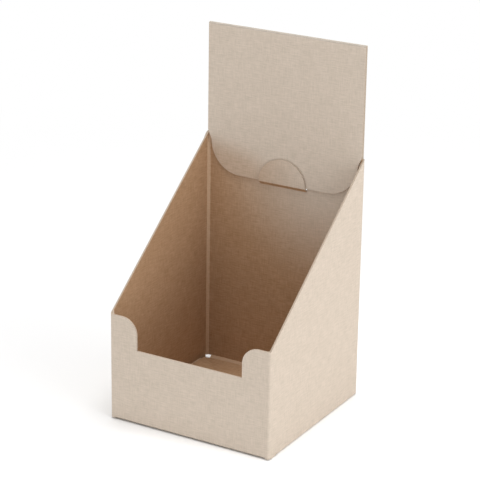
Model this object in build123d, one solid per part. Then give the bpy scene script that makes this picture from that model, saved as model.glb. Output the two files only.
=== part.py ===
from build123d import *
import math
import os

# Shelf-ready display box, folded from one die-cut blank of fluted board.
# The blank is: left wall, front panel, right wall and back panel in a row, with a glue flap on
# the back panel, four bottom flaps that lock when the box is pushed open, and above the back
# panel a double header whose front layer ends in a tuck flap behind a half-moon tab.
# Nothing is added to the blank, so the folded box is one solid.
# Millimetres. +X to the right, +Y to the back, +Z up. The origin is on the shelf, in the middle
# of the footprint of the four walls. The front panel faces -Y.

# Board
BOARD = 1.4              # thickness
LAYER_GAP = 0.1          # air left between two layers that lie on each other
CUT_GAP = 0.2            # width of a die cut
FOLD_RADIUS = 1.7        # outside of a fold
CREASE_BEAD = 2.1        # board that a crease pushes into the inside of a fold

# Body
WIDTH = 150.0            # over the side walls
DEPTH = 151.0            # over the front and back panels
FRONT_CORNER = 93.0      # height of the side walls at the front
BACK_CORNER = 210.2      # height of the side walls at the back

# Notch in the front panel
NOTCH_WIDTH = 98.6
NOTCH_DEPTH = 27.2       # below the front corners
SHOULDER_RADIUS = 14.5   # rounding where the notch leaves the front corners

# Header
HEADER_RISE = 95.3       # above the back corners
HEADER_INSET = 1.5       # from the outside of each side wall
TUCK_REACH = 34.7        # how far the tuck flap goes below the back corners
TUCK_WIDTH = 140.0
TUCK_RADIUS = 28.0       # its two lower corners
TUCK_TAPER = 8.5         # height over which the front layer narrows to the tuck flap
TUCK_LEAD = 1.8          # how far above the back corners that taper starts

# Half-moon tab, cut from the back panel
TAB_RADIUS = 22.5
TAB_LEG = 4.4            # straight sides below the half circle, on the flat blank
TAB_DROP = 3.5           # its fold lies this far below the edge of the tuck flap
TAB_RISE = 3.2           # height that it takes to step out in front of the tuck flap

# Glue flap, laid on the outside of the left wall
GLUE_WIDTH = 22.0
GLUE_TOP_WIDTH = 2.0     # left of its width at the top corner
GLUE_FOOT_WIDTH = 4.5    # left of its width at the bottom corner
GLUE_TAPER = 30.0        # height of the taper at either end

# Bottom flaps
SIDE_INSET = 4.0         # sides of the long flaps, from the outside of the side walls
SEAM_SHIFT = 8.2         # from a diagonal of the bottom to the edges that are cut beside it
RAMP_WIDTH = 9.5         # strip over which a tongue climbs onto the flap beside it
WALL_RAMP = 6.0          # strip over which a glued flap climbs from its fold
GLUE_TIP_STOP = 28.0     # end of the glue triangle, from the far wall
TIP_WIDTH = 11.0         # blunt end of the glue triangle
TONGUE_STOP = 27.0       # end of the tongue, from the far wall
TONGUE_SIDE = 8.0        # end of the tongue, from the side wall
TONGUE_CURVE_X = 30.0    # half-round end of the tongue, measured across the box
TONGUE_CURVE_Y = 27.0    # the same, measured front to back
TONGUE_EDGE = 5.0        # inner edge of the tongue, from the middle of the box
SLIT_HALF = 1.2          # half of the slit that stays open between the glued flaps
FLAP_SLANT = 22.0        # how far a glued flap narrows along its free side

# Cut-away corners at the bottom folds
CORNER_RELIEF = 1.0      # height of the three plain corners above the shelf
SEAM_RELIEF = 3.0        # height at the corner where the blank is glued
SEAM_NOTCH = 6.0         # length of that relief along the back panel
FOLD_END = 9.5           # a glued flap's fold starts this far from its diagonal corner

HALF_W = WIDTH / 2
HALF_D = DEPTH / 2
PITCH = BOARD + LAYER_GAP                 # from one layer to the next
TOP = BACK_CORNER + HEADER_RISE
TUCK_EDGE = BACK_CORNER - TUCK_REACH
TUCK_NECK = BACK_CORNER + TUCK_LEAD - TUCK_TAPER
LIP = BOARD + CREASE_BEAD                 # inner limit of a bottom fold, from the outside
BACK_LAYER = HALF_D - BOARD / 2           # mid-plane of the back panel
FRONT_LAYER = BACK_LAYER - PITCH          # mid-plane of the header's front layer
TAB_LAYER = FRONT_LAYER - PITCH           # mid-plane of the half-moon tab
OVER = 5.0                                # how far a cutter runs past what it cuts


def upright(y):
    """Plane across the box at y, seen from the front: x to the right, z up."""
    return Plane.XZ.offset(-y)


def wall_outline():
    """Inside of the four walls, with a crease bead across each corner."""
    inside = Rectangle(WIDTH - 2 * BOARD, DEPTH - 2 * BOARD)
    return chamfer(inside.vertices(), CREASE_BEAD)


def walls():
    """Four walls as one tube with rounded folds, swollen inwards along every crease."""
    block = Pos(0, 0, BACK_CORNER / 2) * Box(WIDTH, DEPTH, BACK_CORNER)
    folds = block.edges().filter_by(Axis.Z) + block.edges().group_by(Axis.Z)[0]
    block = fillet(folds, FOLD_RADIUS)
    hollow = extrude(Pos(0, 0, BOARD) * wall_outline(), TUCK_NECK - BOARD)
    hollow = chamfer(hollow.edges().group_by(Axis.Z)[0], CREASE_BEAD)
    lip = offset(wall_outline(), -CREASE_BEAD, kind=Kind.INTERSECTION)
    floor = extrude(Pos(0, 0, -OVER) * lip, 2 * OVER)
    # Above the tuck flap's neck the beads are pressed flat.
    mouth = Rectangle(WIDTH - 2 * BOARD, DEPTH - 2 * BOARD)
    mouth = extrude(Pos(0, 0, TUCK_NECK) * mouth, BACK_CORNER - TUCK_NECK + OVER)
    return block - hollow - floor - mouth


def slope_cutter():
    """Everything above the sloping side walls and the top of the front panel."""
    inner = -HALF_D + BOARD
    rise = (BACK_CORNER - FRONT_CORNER) / DEPTH
    side = make_face(Polyline(
        (-HALF_D - OVER, FRONT_CORNER),
        (inner, FRONT_CORNER),
        (inner, FRONT_CORNER + BOARD * rise),
        (HALF_D, BACK_CORNER),
        (HALF_D + OVER, BACK_CORNER),
        (HALF_D + OVER, TOP + OVER),
        (-HALF_D - OVER, TOP + OVER),
        close=True,
    ))
    return extrude(Plane.YZ * side, HALF_W + OVER, both=True)


def notch_cutter():
    """Opening in the front panel: upright sides, square at the floor, round at the shoulders."""
    half = NOTCH_WIDTH / 2
    floor = FRONT_CORNER - NOTCH_DEPTH
    spring = FRONT_CORNER - SHOULDER_RADIUS
    outer = half + SHOULDER_RADIUS
    above = FRONT_CORNER + OVER
    outline = make_face([
        CenterArc((-outer, spring), SHOULDER_RADIUS, 0, 90),
        CenterArc((outer, spring), SHOULDER_RADIUS, 90, 90),
        Polyline((-half, spring), (-half, floor), (half, floor), (half, spring)),
        Polyline((-outer, FRONT_CORNER), (-outer, above), (outer, above), (outer, FRONT_CORNER)),
    ])
    return extrude(upright(-HALF_D) * outline, LIP, both=True)


def glue_flap():
    """Flap that folds off the back panel round the corner, flat on the left wall."""
    outline = make_face(Polyline(
        (HALF_D, 0),
        (HALF_D - GLUE_FOOT_WIDTH, 0),
        (HALF_D - GLUE_WIDTH, GLUE_TAPER),
        (HALF_D - GLUE_WIDTH, BACK_CORNER - GLUE_TAPER),
        (HALF_D - GLUE_TOP_WIDTH, BACK_CORNER),
        (HALF_D, BACK_CORNER),
        close=True,
    ))
    # It reaches into the wall's thickness, so that the rounded corner under it is filled.
    flap = extrude(Plane.YZ.offset(-HALF_W) * outline, BOARD, both=True)
    flap = flap & Pos(0, 0, TOP / 2) * Box(WIDTH + 2 * BOARD, DEPTH, TOP)
    corner = flap.edges().filter_by(Axis.Z).sort_by(Axis.Y)[-2:].sort_by(Axis.X)[0]
    return fillet(corner, FOLD_RADIUS)


def header():
    """Back panel carried up, folded over the top and down again as the tuck flap."""
    half = HALF_W - HEADER_INSET
    crown = TOP - (PITCH + BOARD) / 2
    middle = (BACK_LAYER + FRONT_LAYER) / 2
    start = BACK_CORNER - OVER
    section = trace([
        Line((BACK_LAYER, start), (BACK_LAYER, crown)),
        CenterArc((middle, crown), PITCH / 2, 0, 180),
        Line((FRONT_LAYER, crown), (FRONT_LAYER, TUCK_EDGE)),
    ], BOARD)
    sheet = extrude(Plane.YZ * section, half, both=True)
    return sheet - tuck_trim(half)


def tuck_trim(half):
    """What is cut from the front layer beside and below the tuck flap's rounded corners."""
    taper_top = TUCK_NECK + TUCK_TAPER
    side = TUCK_WIDTH / 2
    bend = TUCK_EDGE + TUCK_RADIUS
    floor = TUCK_EDGE - OVER
    right = make_face([
        Polyline(
            (side - TUCK_RADIUS, TUCK_EDGE),
            (side - TUCK_RADIUS, floor),
            (half + OVER, floor),
            (half + OVER, taper_top),
            (half, taper_top),
            (side, bend),
        ),
        CenterArc((side - TUCK_RADIUS, bend), TUCK_RADIUS, 270, 90),
    ])
    trim = extrude(upright(FRONT_LAYER) * right, PITCH / 2, both=True)
    return trim + mirror(trim, Plane.YZ)


def half_moon(radius, leg, root):
    """Tab outline seen from the front: straight sides up from its fold, then a half circle."""
    spring = root + leg
    return make_face([
        CenterArc((0, spring), radius, 0, 180),
        Polyline((-radius, spring), (-radius, root), (radius, root), (radius, spring)),
    ])


def tab_bend():
    """Half angle, radius and extra length of the S-shaped step that brings the tab forward."""
    step = BACK_LAYER - TAB_LAYER
    angle = 2 * math.atan(step / TAB_RISE)
    radius = TAB_RISE / (2 * math.sin(angle))
    extra = 2 * radius * angle - TAB_RISE
    return angle, radius, extra


def tab_hole():
    """Window that the half-moon tab leaves in the back panel."""
    outline = half_moon(TAB_RADIUS, TAB_LEG, TUCK_EDGE - TAB_DROP)
    return extrude(upright(BACK_LAYER) * outline, PITCH / 2, both=True)


def tab():
    """Half-moon tab: out of the back panel in an S, then up in front of the tuck flap."""
    angle, radius, extra = tab_bend()
    root = TUCK_EDGE - TAB_DROP
    degrees = math.degrees(angle)
    first = (BACK_LAYER - radius, root)
    second = (
        first[0] + 2 * radius * math.cos(angle),
        first[1] + 2 * radius * math.sin(angle),
    )
    top = root + TAB_LEG + TAB_RADIUS
    section = trace([
        Line((BACK_LAYER, root - BOARD), (BACK_LAYER, root)),
        CenterArc(first, radius, 0, degrees),
        CenterArc(second, radius, 180, degrees),
        Line((TAB_LAYER, root + TAB_RISE), (TAB_LAYER, top)),
    ], BOARD)
    strip = extrude(Plane.YZ * section, TAB_RADIUS - CUT_GAP, both=True)
    outline = half_moon(TAB_RADIUS - CUT_GAP, TAB_LEG - extra + BOARD, root - BOARD)
    return strip & extrude(upright(TAB_LAYER) * outline, 4 * PITCH, both=True)


def ramp_sheet(origin, across, start, width, level):
    """Endless sheet of board that lies on the shelf and climbs to a level along one strip.

    origin and start set the strip's foot, across is the level direction in which it climbs.
    """
    reach = WIDTH + DEPTH
    plane = Plane(origin=(*origin, 0), x_dir=(*across, 0), z_dir=(across[1], -across[0], 0))
    section = make_face(Polyline(
        (-reach, 0),
        (start, 0),
        (start + width, level),
        (reach, level),
        (reach, level + BOARD),
        (start + width, level + BOARD),
        (start, BOARD),
        (-reach, BOARD),
        close=True,
    ))
    return extrude(plane * section, reach, both=True)


def unit(x, y):
    """Vector of length one along x, y."""
    length = math.hypot(x, y)
    return x / length, y / length


def long_flap():
    """Front bottom flap: its body, the glue triangle at its left and the tongue at its right.

    The body and the triangle lie on the shelf. Past the diagonal from the front right corner to
    the middle the tongue climbs over two layers, onto the right glued flap.
    """
    shift = SEAM_SHIFT * math.hypot(WIDTH, DEPTH)
    tip_y = HALF_D - GLUE_TIP_STOP
    # The triangle's free edge runs beside the diagonal from the back left corner.
    tip_x = (-tip_y * WIDTH - shift) / DEPTH
    near_x = -shift / (2 * DEPTH)
    near_y = -shift / (2 * WIDTH)
    end_y = HALF_D - TONGUE_STOP
    end_x = HALF_W - TONGUE_SIDE
    curve_x = TONGUE_EDGE + TONGUE_CURVE_X
    curve_y = end_y - TONGUE_CURVE_Y
    outline = make_face([
        Polyline(
            (TONGUE_EDGE, curve_y),
            (TONGUE_EDGE, 0),
            (near_x, near_y),
            (tip_x, tip_y),
            (tip_x - TIP_WIDTH, tip_y),
            (-HALF_W + BOARD, -HALF_D + FOLD_RADIUS),
            (HALF_W - BOARD, -HALF_D + FOLD_RADIUS),
            (end_x, end_y),
            (curve_x, end_y),
        ),
        EllipticalCenterArc(
            (curve_x, curve_y), TONGUE_CURVE_X, TONGUE_CURVE_Y, start_angle=90, arc_size=90
        ),
    ])
    inside = Rectangle(WIDTH - 2 * SIDE_INSET, DEPTH)
    across = unit(DEPTH, WIDTH)
    sheet = ramp_sheet((HALF_W, -HALF_D), across, -RAMP_WIDTH / 2, RAMP_WIDTH, BOARD + PITCH)
    return extrude(outline & inside, 2 * OVER, both=True) & sheet


def glued_flap():
    """Left bottom flap: from its fold onto the front flap's glue triangle, where it is glued."""
    shift = SEAM_SHIFT * math.hypot(WIDTH, DEPTH)
    inner_x = -SLIT_HALF
    seam_y = (-inner_x * DEPTH - shift) / WIDTH
    wall_y = (HALF_W * DEPTH - shift) / WIDTH
    outline = make_face(Polyline(
        (-HALF_W + FOLD_RADIUS, wall_y),
        (inner_x, seam_y),
        (inner_x, -HALF_D + FLAP_SLANT),
        (-HALF_W + FOLD_RADIUS, -HALF_D + LIP),
        close=True,
    ))
    sheet = ramp_sheet((-HALF_W, 0), (1, 0), LIP, WALL_RAMP, BOARD)
    return extrude(outline, 2 * OVER, both=True) & sheet


def cut_box(x_from, x_to, y_from, y_to, height):
    """Box that removes board between the limits, from under the shelf up to a height."""
    size = (x_to - x_from, y_to - y_from, height + OVER)
    middle = ((x_from + x_to) / 2, (y_from + y_to) / 2, (height - OVER) / 2)
    return Pos(*middle) * Box(*size)


def corner_cutters():
    """What the blank lacks at the four bottom corners, so that its flaps can fold past each other.

    Two opposite corners also free the start of a glued flap. The glued corner is cut higher.
    """
    left, front = -HALF_W, -HALF_D
    bead = BOARD + LIP
    outer = cut_box(left - OVER, left + LIP, front - OVER, front + LIP, CORNER_RELIEF)
    inner = cut_box(left + BOARD, left + SIDE_INSET, front + BOARD, front + LIP, bead)
    plain = outer + inner
    outer = cut_box(left - OVER, left + LIP, HALF_D - LIP, HALF_D + OVER, CORNER_RELIEF)
    inner = cut_box(left + BOARD, left + SIDE_INSET, HALF_D - FOLD_END, HALF_D - BOARD, bead)
    start = outer + inner
    seam = cut_box(left - OVER, left + SEAM_NOTCH, HALF_D - LIP, HALF_D + OVER, SEAM_RELIEF)
    return [
        plain,
        plain.rotate(Axis.Z, 180),
        start + seam,
        start.rotate(Axis.Z, 180),
    ]


def carton():
    """The folded and locked box."""
    shell = walls() + glue_flap()
    shell = shell - slope_cutter() - notch_cutter() - corner_cutters() - tab_hole()
    front = long_flap()
    left = glued_flap()
    flaps = [front, front.rotate(Axis.Z, 180), left, left.rotate(Axis.Z, 180)]
    return shell + flaps + header() + tab()


def main():
    box = carton()
    box.label = "carton"
    os.makedirs("parts", exist_ok=True)
    export_step(box, "parts/carton.step")
    print("solids", len(box.solids()), "volume", round(box.volume, 1), "valid", box.is_valid)


main()
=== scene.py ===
"""Shelf-ready display box: one folded blank of kraft board on a pale studio floor.

The blank is worked out as grids over its flat sheet. Each grid point has a place on the outer
face of the folded board and one on the inner face, and every edge that is left open is closed
with a strip of cut board. Whole numbers given to linspace and space count grid lines and steps.
"""

from __future__ import annotations

import logging
import math
from dataclasses import dataclass, field
from enum import Enum

import bpy
import numpy as np
from mathutils import Matrix, Vector


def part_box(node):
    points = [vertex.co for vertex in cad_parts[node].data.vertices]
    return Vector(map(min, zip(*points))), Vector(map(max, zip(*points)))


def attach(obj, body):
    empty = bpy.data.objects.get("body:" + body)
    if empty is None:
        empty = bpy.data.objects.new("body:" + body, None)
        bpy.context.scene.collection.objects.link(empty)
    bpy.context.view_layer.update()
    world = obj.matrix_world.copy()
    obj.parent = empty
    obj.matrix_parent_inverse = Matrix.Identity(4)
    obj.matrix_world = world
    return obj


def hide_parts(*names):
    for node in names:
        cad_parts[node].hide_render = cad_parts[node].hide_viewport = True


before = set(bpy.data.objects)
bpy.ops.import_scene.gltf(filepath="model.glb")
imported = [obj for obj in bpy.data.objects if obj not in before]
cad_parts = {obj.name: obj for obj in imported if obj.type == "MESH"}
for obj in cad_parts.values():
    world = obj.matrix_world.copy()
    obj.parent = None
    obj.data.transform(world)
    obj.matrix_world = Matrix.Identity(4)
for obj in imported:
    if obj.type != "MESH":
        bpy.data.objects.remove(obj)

LOG = logging.getLogger("display_box")
MM = 0.001
NODE = "carton"
BODY = "root"
UV_NAME = "blank"
PHOTO_PIXELS = 480
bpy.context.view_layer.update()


class Face(Enum):
    """Which face of the board a polygon belongs to; the value is its material slot."""

    OUTER = 0
    INNER = 1
    CUT = 2
    CREASE = 3
    DARKER_FOLD = 4


def smooth(value: np.ndarray) -> np.ndarray:
    """Smooth step from 0 to 1: 3x^2 - 2x^3 on the clipped value."""
    value = np.clip(value, 0.0, 1.0)
    return value * value * (3.0 - 2.0 * value)


def follow(distance: np.ndarray, nodes: np.ndarray, points: np.ndarray) -> np.ndarray:
    """Point at a distance along a line of nodes, straight between them.

    Args:
        distance: Distances, in any shape.
        nodes: Increasing distance of each node.
        points: One row per node.

    Returns:
        Array of the distances' shape with one more axis, as long as a row of points.
    """
    parts = [np.interp(distance, nodes, points[:, axis]) for axis in range(points.shape[1])]
    return np.stack(parts, axis=-1)


def linear(hex_colour: str) -> tuple[float, float, float, float]:
    """Scene-linear colour of an sRGB hex value.

    Args:
        hex_colour: Six hex digits with a leading hash.

    Returns:
        Red, green, blue and an alpha of 1.
    """
    levels = np.array([int(hex_colour[i:i + 2], 16) / 255.0 for i in (1, 3, 5)])
    low = levels / 12.92
    high = ((levels + 0.055) / 1.055) ** 2.4
    red, green, blue = np.where(levels <= 0.04045, low, high)
    return float(red), float(green), float(blue), 1.0


@dataclass(frozen=True)
class Board:
    """Fluted board of the blank, and how it folds."""

    thickness: float = 1.4 * MM
    gap: float = 0.1 * MM
    cut: float = 0.2 * MM
    fold_radius: float = 1.7 * MM
    bead: float = 2.1 * MM

    @property
    def reach(self) -> float:
        """How far a fold's inner facet reaches from the outer corner."""
        return self.thickness + self.bead

    @property
    def pitch(self) -> float:
        """Distance from one layer to the next."""
        return self.thickness + self.gap


@dataclass(frozen=True)
class Body:
    """Overall sizes of the box, taken from the frame."""

    board: Board
    half_width: float
    half_depth: float
    top: float
    front_corner: float = 93.0 * MM
    header_rise: float = 95.3 * MM
    mid_level: float = 65.8 * MM

    @classmethod
    def from_frame(cls, board: Board) -> "Body":
        """Body whose width, depth and height are those of the CAD node."""
        low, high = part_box(NODE)
        return cls(board, high.x, (high.y - low.y) / 2, high.z)

    @property
    def back_corner(self) -> float:
        """Height of the side walls at the back."""
        return self.top - self.header_rise


class Skins:
    """Gathers grids of the board's two faces and closes them into one shell."""

    MERGE = 0.002 * MM
    SHIFT = 0.31

    def __init__(self) -> None:
        """Starts with no grid."""
        self.outer: list[np.ndarray] = []
        self.inner: list[np.ndarray] = []
        self.flat: list[np.ndarray] = []
        self.quads: list[np.ndarray] = []
        self.inside: list[np.ndarray] = []
        self.outside: list[np.ndarray] = []
        self.count = 0

    def add(
        self, outer: np.ndarray, inner: np.ndarray, flat: np.ndarray,
        inside: Face = Face.INNER, outside: Face = Face.OUTER,
    ) -> None:
        """Adds one grid. Its quads are turned so that the outer face looks away from the inner.

        Args:
            outer: Places on the outer face, rows by columns by 3.
            inner: The same grid on the inner face.
            flat: The same grid on the flat blank, rows by columns by 2.
            inside: What the grid's inner face is.
            outside: What its outer face is.
        """
        rows, columns = outer.shape[:2]
        index = np.arange(rows * columns).reshape(rows, columns)
        quads = np.stack(
            [index[:-1, :-1], index[:-1, 1:], index[1:, 1:], index[1:, :-1]], axis=-1
        ).reshape(-1, 4)
        points = outer.reshape(-1, 3)
        away = (outer - inner).reshape(-1, 3)
        across = points[quads[:, 2]] - points[quads[:, 0]]
        along = points[quads[:, 3]] - points[quads[:, 1]]
        facing = np.sum(np.cross(across, along) * away[quads[:, 0]])
        if facing < 0:
            quads = quads[:, ::-1]
        self.outer.append(points)
        self.inner.append(inner.reshape(-1, 3))
        self.flat.append(flat.reshape(-1, 2))
        self.quads.append(quads + self.count)
        self.inside.append(np.full(len(quads), inside.value))
        self.outside.append(np.full(len(quads), outside.value))
        self.count += rows * columns

    def build(self, name: str) -> bpy.types.Object:
        """Joins the grids where both faces meet and closes what is left open.

        An edge that only one quad uses is an edge of the sheet, and gets a strip of cut board
        from the outer face to the inner one.

        Args:
            name: Name of the new object.

        Returns:
            The object, linked to the scene, with a UV map in metres on the flat blank.
        """
        outer = np.concatenate(self.outer)
        inner = np.concatenate(self.inner)
        flat = np.concatenate(self.flat)
        quads = np.concatenate(self.quads)
        # The shift keeps round sizes away from the middle between two steps.
        keys = np.round(np.hstack([outer, inner]) / self.MERGE + self.SHIFT).astype(np.int64)
        _, first, merged = np.unique(keys, axis=0, return_index=True, return_inverse=True)
        merged = merged.reshape(-1)
        total = len(first)
        corners = merged[quads]
        loops = np.concatenate([corners, corners[:, ::-1] + total])
        uvs = np.concatenate([flat[quads], flat[quads][:, ::-1]])
        kinds = np.concatenate([*self.outside, *self.inside])

        starts = corners.reshape(-1)
        ends = np.roll(corners, -1, axis=1).reshape(-1)
        start_uv = flat[quads].reshape(-1, 2)
        end_uv = np.roll(flat[quads], -1, axis=1).reshape(-1, 2)
        real = starts != ends
        pairs = np.sort(np.stack([starts, ends], axis=-1)[real], axis=1)
        _, where, uses = np.unique(pairs, axis=0, return_inverse=True, return_counts=True)
        open_edge = uses[where.reshape(-1)] == 1
        a, b = starts[real][open_edge], ends[real][open_edge]
        a_uv, b_uv = start_uv[real][open_edge], end_uv[real][open_edge]
        rim = np.stack([b, a, a + total, b + total], axis=-1)
        thick = np.linalg.norm(outer[first[a]] - inner[first[a]], axis=1)
        zero = np.zeros(len(a))
        rim_uv = np.stack([
            np.stack([b_uv[:, 0], zero], axis=-1),
            np.stack([a_uv[:, 0], zero], axis=-1),
            np.stack([a_uv[:, 0], thick], axis=-1),
            np.stack([b_uv[:, 0], thick], axis=-1),
        ], axis=1)

        faces = np.concatenate([loops, rim])
        face_uv = np.concatenate([uvs, rim_uv])
        kinds = np.concatenate([kinds, np.full(len(rim), Face.CUT.value)])
        places = np.concatenate([outer[first], inner[first]])
        return mesh_object(name, places, faces, face_uv, kinds)


def mesh_object(
    name: str, places: np.ndarray, faces: np.ndarray, face_uv: np.ndarray, kinds: np.ndarray
) -> bpy.types.Object:
    """Object from arrays. A quad with two equal corners becomes a triangle.

    Args:
        name: Name of the object and its mesh.
        places: Vertices, one row each.
        faces: Four vertex numbers a row.
        face_uv: Four UV pairs a face.
        kinds: Material slot of each face.

    Returns:
        The object, smooth, with edges over 30 degrees sharp.
    """
    keep = faces != np.roll(faces, 1, axis=1)
    totals = keep.sum(axis=1)
    solid = totals >= 3
    keep &= solid[:, None]
    totals, kinds = totals[solid], kinds[solid]
    loop_vertices = faces[keep]
    mesh = bpy.data.meshes.new(name)
    mesh.vertices.add(len(places))
    mesh.vertices.foreach_set("co", places.astype(np.float32).reshape(-1))
    mesh.loops.add(len(loop_vertices))
    mesh.loops.foreach_set("vertex_index", loop_vertices.astype(np.int32))
    mesh.polygons.add(len(totals))
    mesh.polygons.foreach_set("loop_start", (np.cumsum(totals) - totals).astype(np.int32))
    mesh.polygons.foreach_set("loop_total", totals.astype(np.int32))
    mesh.polygons.foreach_set("material_index", kinds.astype(np.int32))
    mesh.update(calc_edges=True)
    layer = mesh.uv_layers.new(name=UV_NAME)
    layer.data.foreach_set("uv", face_uv[keep].astype(np.float32).reshape(-1))
    mesh.validate()
    mesh.polygons.foreach_set("use_smooth", np.ones(len(mesh.polygons), dtype=bool))
    mesh.set_sharp_from_angle(angle=math.radians(30))
    piece = bpy.data.objects.new(name, mesh)
    bpy.context.collection.objects.link(piece)
    return piece


def space(nodes: list[float], counts: list[int]) -> np.ndarray:
    """Values from node to node with a count of equal steps between each two.

    Args:
        nodes: The values that must be there, in order.
        counts: Number of steps between each pair of neighbours.

    Returns:
        All values once, in order.
    """
    runs = [
        np.linspace(start, end, count + 1)[:-1]
        for start, end, count in zip(nodes[:-1], nodes[1:], counts)
    ]
    return np.concatenate(runs + [np.array([nodes[-1]])])


@dataclass
class Wall:
    """One wall's frame: where it starts on the blank and how it lies in the box."""

    start: float
    corner: np.ndarray
    along: np.ndarray
    inward: np.ndarray

    def place(self, s: np.ndarray, depth: np.ndarray, z: np.ndarray) -> np.ndarray:
        """Point at s along the blank, a depth inside the wall's outer face, at height z."""
        reach = (s - self.start)[..., None] * self.along
        inside = np.broadcast_to(depth, s.shape)[..., None] * self.inward
        flat = self.corner + reach + inside
        return np.concatenate([flat, np.broadcast_to(z, s.shape)[..., None]], axis=-1)


class Plan:
    """The walls seen from above: where a distance along the blank lies on either face."""

    ARC_STEPS = 6
    GLUED_LEAD = 0.6 * MM
    FLATTENING = 6.0 * MM

    def __init__(self, body: Body) -> None:
        """Lays the left, front, right and back walls and the glue flap end to end."""
        board = body.board
        x, y = body.half_width, body.half_depth
        glue_x = x + board.thickness
        self.body = body
        corners = np.array([[-x, y], [-x, -y], [x, -y], [x, y], [-glue_x, y]])
        along = np.array([[0.0, -1.0], [1.0, 0.0], [0.0, 1.0], [-1.0, 0.0], [0.0, -1.0]])
        inward = np.array([[1.0, 0.0], [0.0, 1.0], [-1.0, 0.0], [0.0, -1.0], [1.0, 0.0]])
        lengths = [2 * y, 2 * x, 2 * y, x + glue_x]
        starts = np.concatenate([[0.0], np.cumsum(lengths)])
        self.walls = [Wall(*values) for values in zip(starts, corners, along, inward)]
        self.nodes: list[float] = []
        self.outer: list[np.ndarray] = []
        self.faceted: list[np.ndarray] = []
        self.pressed: list[np.ndarray] = []
        self.cut(self.walls[0], 0.0)
        for before, after in zip(self.walls[:-1], self.walls[1:]):
            self.turn(before, after)
        self.cut(self.walls[-1], 2 * y)

    def cut(self, wall: Wall, reach: float) -> None:
        """Adds a node where the sheet starts or ends, a reach along a wall."""
        end = wall.corner + wall.along * reach
        edge = end + wall.inward * self.body.board.thickness
        self.nodes.append(wall.start + reach)
        self.outer.append(end)
        self.faceted.append(edge)
        self.pressed.append(edge)

    def turn(self, before: Wall, after: Wall) -> None:
        """Adds a fold's nodes: a quarter circle outside, a facet or a square corner inside."""
        board = self.body.board
        glued = after is self.walls[-1]
        radius, thick, reach = board.fold_radius, board.thickness, board.reach
        # At the glued corner the left wall's end stands between the fold and the glue flap.
        extra = thick if glued else 0.0
        angles = np.linspace(0.0, math.pi / 2, self.ARC_STEPS + 1)
        centre = after.corner - before.along * radius + before.inward * radius
        bend = (
            centre
            - np.cos(angles)[:, None] * before.inward * radius
            + np.sin(angles)[:, None] * before.along * radius
        )
        offsets = np.concatenate([
            [-reach - extra],
            [-reach + self.GLUED_LEAD] if glued else [],
            np.linspace(-radius, radius, self.ARC_STEPS + 1),
            [reach],
        ])
        facet_from = after.corner - before.along * (reach + extra) + before.inward * thick
        facet_to = after.corner + after.along * reach + after.inward * (thick + extra)
        seat = after.corner + after.along * reach + after.inward * thick
        square = after.corner - before.along * (thick + extra) + before.inward * thick
        share = np.clip((offsets - offsets[0]) / (radius - offsets[0] if glued else 2 * reach), 0, 1)
        faceted = facet_from + share[:, None] * (facet_to - facet_from)
        straight_to = -reach + self.GLUED_LEAD if glued else -radius
        from_node = after.corner + before.along * straight_to + before.inward * thick
        to_node = facet_to if glued else after.corner + after.along * radius + after.inward * thick
        pressed = follow(
            offsets,
            np.array([offsets[0], straight_to, 0.0, radius, reach]),
            np.stack([facet_from, from_node, square, to_node, facet_to]),
        )
        lead = [facet_from - before.inward * thick]
        if glued:
            lead.append(from_node - before.inward * thick)
            faceted[-1] = seat
            pressed[-1] = seat
        outer = np.concatenate([lead, bend, [seat - after.inward * thick]])
        self.nodes.extend(after.start + offsets)
        self.outer.extend(outer)
        self.faceted.extend(faceted)
        self.pressed.extend(pressed)

    def strip(self, corner: int) -> np.ndarray:
        """Distances along the blank of one corner's nodes, the corners counted from 1."""
        nodes = np.array(self.nodes)
        reach = self.body.board.reach + 2 * self.body.board.thickness
        return nodes[np.abs(nodes - self.walls[corner].start) < reach]

    def on_outer(self, s: np.ndarray, z: np.ndarray) -> np.ndarray:
        """Point of the outer face at s along the blank and height z."""
        flat = follow(s, np.array(self.nodes), np.array(self.outer))
        return np.concatenate([flat, z[..., None]], axis=-1)

    def on_inner(self, s: np.ndarray, z: np.ndarray, neck: float) -> np.ndarray:
        """Point of the inner face. The facets flatten over the last stretch below the neck."""
        nodes = np.array(self.nodes)
        faceted = follow(s, nodes, np.array(self.faceted))
        pressed = follow(s, nodes, np.array(self.pressed))
        share = smooth((z - neck + self.FLATTENING) / self.FLATTENING)[..., None]
        flat = faceted * (1 - share) + pressed * share
        return np.concatenate([flat, z[..., None]], axis=-1)


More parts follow.
